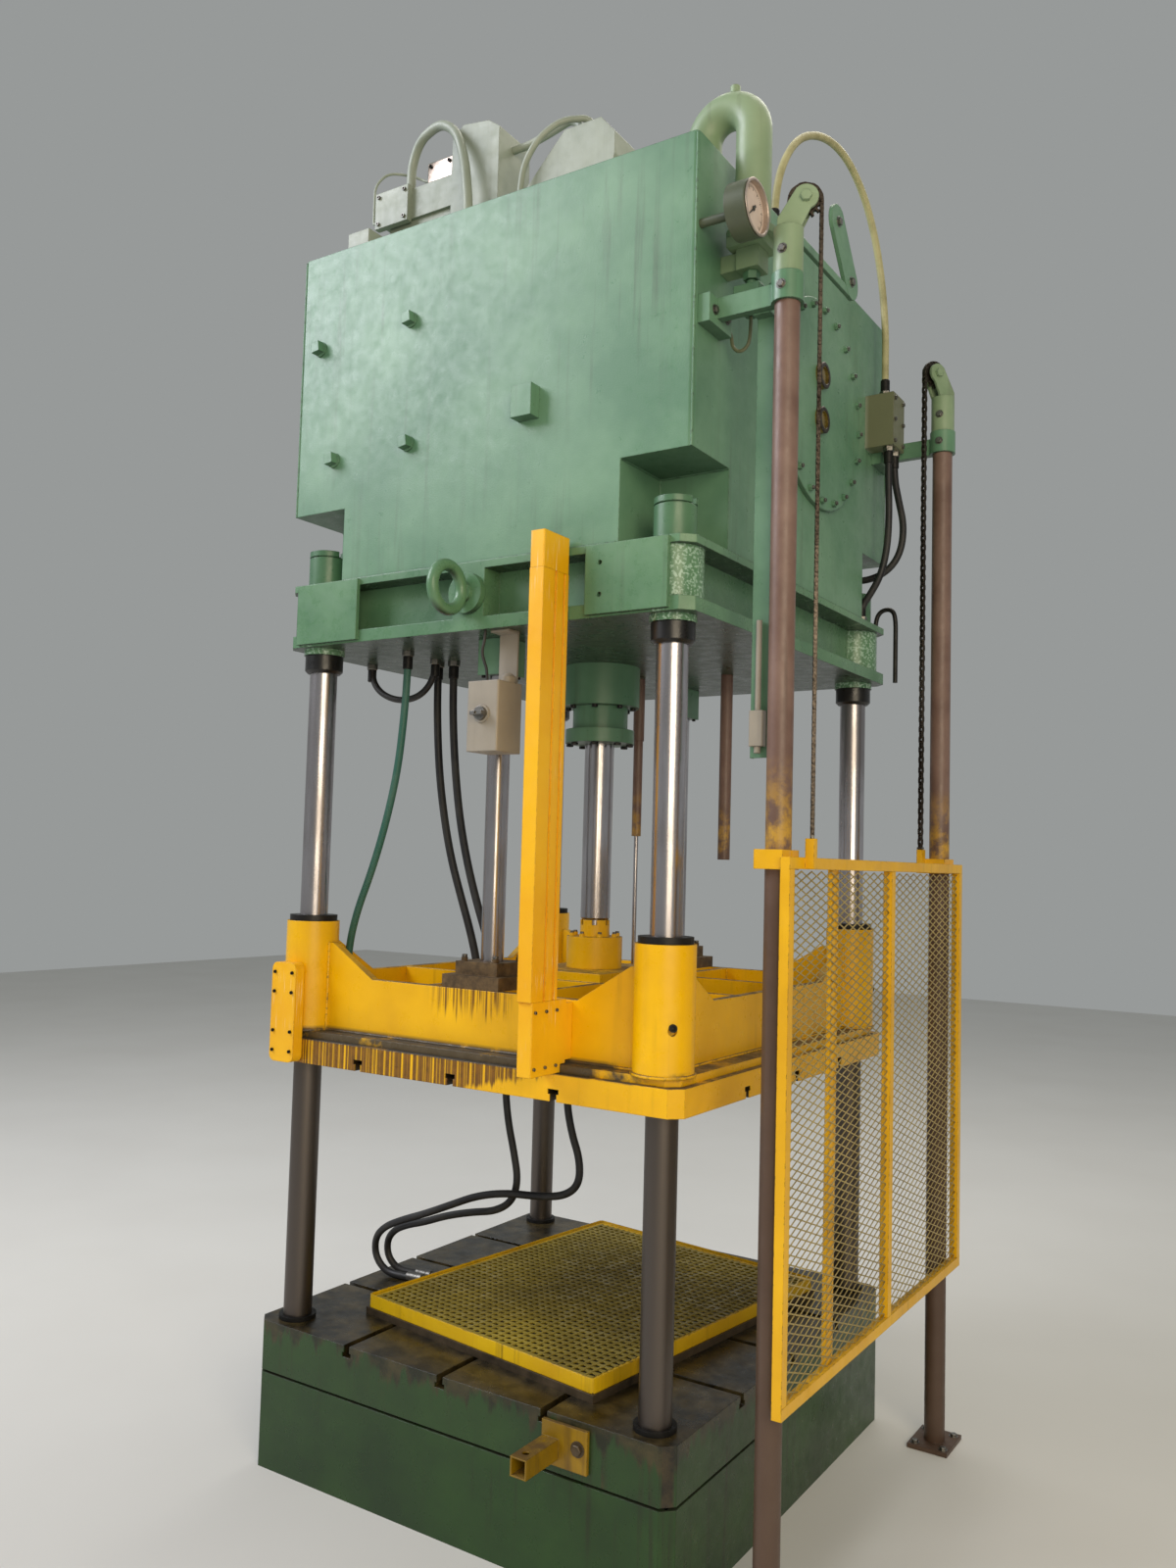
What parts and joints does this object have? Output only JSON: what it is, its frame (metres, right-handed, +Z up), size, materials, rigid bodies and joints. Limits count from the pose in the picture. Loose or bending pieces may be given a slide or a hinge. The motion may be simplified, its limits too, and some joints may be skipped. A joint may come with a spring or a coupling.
{
  "type": "four-column hydraulic press",
  "caption": "Hydraulic press: slotted bed and platen guided on round columns under a crown with an oil tank, and a balanced sliding mesh guard at its right side.",
  "frame": {"origin": "on the floor, midway between the four columns", "axes": "+Z up, -Y towards the operator at the front, +X to the right, where the sliding guard is"},
  "size_m": [1.6305, 1.525, 3.925],
  "materials": {
    "green_paint": "semi-gloss enamel, brushed on over old coats",
    "bed_green_paint": "worn gloss enamel",
    "yellow_paint": "gloss enamel, oily and chipped",
    "guard_yellow": "semi-gloss enamel",
    "column_steel": "ground steel with oil film",
    "rod_steel": "polished rod with oil film",
    "dark_steel": "blackened, oily steel",
    "oily_plate": "rusty, oily steel plate",
    "brown_tube": "brown primer, thin rust",
    "grey_enamel": "grey enamel",
    "hose_rubber": "black rubber cover",
    "green_hose_rubber": "green rubber cover",
    "pale_hose_rubber": "pale plastic cover",
    "chain_steel": "oiled chain steel",
    "mesh_steel": "pale painted mesh",
    "dial_white": "printed dial behind glass",
    "sight_glass": "oil behind glass in a ring"
  },
  "bodies": {
    "frame": {"bed_base": "bed_green_paint", "bed_table": "oily_plate", "bed_bracket": "yellow_paint", "column_front_left": "column_steel", "column_front_right": "column_steel", "column_rear_left": "column_steel", "column_rear_right": "column_steel", "column_nuts": "dark_steel", "column_foot_collars": "dark_steel", "tray_plate": "oily_plate", "drip_tray": "yellow_paint", "main_cylinder": "green_paint", "side_cylinders": "green_paint", "crown": "green_paint", "lifting_eye": "green_paint", "oil_tank": "green_paint", "side_cover": "green_paint", "sight_glasses": "sight_glass", "tank_plugs": "green_paint", "valve_stack": "grey_enamel", "pump_block": "green_paint", "tank_pipes": "hose_rubber", "suction_elbow": "green_paint", "gauge_case": "dial_white", "guard_tubes": "brown_tube", "tube_clamps": "green_paint", "sprocket_heads": "green_paint", "chain_heads": "chain_steel", "guard_chains": "chain_steel", "cable_channel": "green_paint", "limit_switch": "grey_enamel", "control_box": "grey_enamel", "hanging_tubes": "brown_tube", "stroke_rod": "rod_steel", "green_hose": "green_hose_rubber", "black_hoses": "hose_rubber", "crown_hose": "hose_rubber", "rear_hoses": "hose_rubber", "cream_hose": "pale_hose_rubber", "table_hoses": "hose_rubber", "box_cable": "hose_rubber"},
    "platen": {"platen_plate": "yellow_paint", "platen_frame": "yellow_paint", "guide_rings": "dark_steel", "ram": "rod_steel", "ram_socket": "yellow_paint", "side_rods": "rod_steel", "rod_flanges": "oily_plate", "ribbed_post": "yellow_paint", "post_caps": "yellow_paint", "left_bracket": "yellow_paint"},
    "guard": {"guard_frame": "guard_yellow", "guard_mesh": "mesh_steel", "guard_collars": "guard_yellow"},
    "weight_front": {"counterweight_front": "dark_steel"},
    "weight_rear": {"counterweight_rear": "dark_steel"},
    "front_wheel": {"sprocket_front": "chain_steel"},
    "rear_wheel": {"sprocket_rear": "chain_steel"},
    "needle": {"gauge_needle": "hose_rubber"},
    "knob": {"rotary_switch": "grey_enamel"}
  },
  "joints": [
    {"name": "platen_slide", "type": "slide", "parent": "frame", "child": "platen", "axis": [0, 0, 1], "range_m": [-0.45, 0.5], "deforming": ["green_hose", "black_hoses", "table_hoses"]},
    {"name": "guard_slide", "type": "slide", "parent": "frame", "child": "guard", "axis": [0, 0, 1], "range_m": [0, 0.889], "deforming": ["guard_chains"]},
    {"name": "weight_front_slide", "type": "slide", "parent": "frame", "child": "weight_front", "axis": [0, 0, 1], "range_m": [-0.89, 0]},
    {"name": "weight_rear_slide", "type": "slide", "parent": "frame", "child": "weight_rear", "axis": [0, 0, 1], "range_m": [-0.89, 0]},
    {"name": "front_wheel_turn", "type": "hinge", "parent": "frame", "child": "front_wheel", "pos_m": [0.91204, -0.58672, 3.295], "axis": [0.4525, -0.8917, 0], "range_deg": [0, 1345]},
    {"name": "rear_wheel_turn", "type": "hinge", "parent": "frame", "child": "rear_wheel", "pos_m": [0.85895, 0.57091, 3.295], "axis": [-0.8666, 0.499, 0], "range_deg": [0, 1345]},
    {"name": "needle_turn", "type": "hinge", "parent": "frame", "child": "needle", "pos_m": [0.8075, -0.65, 3.275], "axis": [-1, 0, 0], "range_deg": [0, 270], "stiffness_Nm_per_rad": 0.005},
    {"name": "switch_turn", "type": "hinge", "parent": "frame", "child": "knob", "pos_m": [0.098, -0.73, 2.094], "axis": [0, -1, 0], "range_deg": [-60, 60]}
  ],
  "couplings": [
    {"joint": "weight_front_slide", "follows": "guard_slide", "ratio": -1},
    {"joint": "weight_rear_slide", "follows": "guard_slide", "ratio": -1},
    {"joint": "front_wheel_turn", "follows": "guard_slide", "rad_per_m": 26.386},
    {"joint": "rear_wheel_turn", "follows": "guard_slide", "rad_per_m": 26.386}
  ]
}
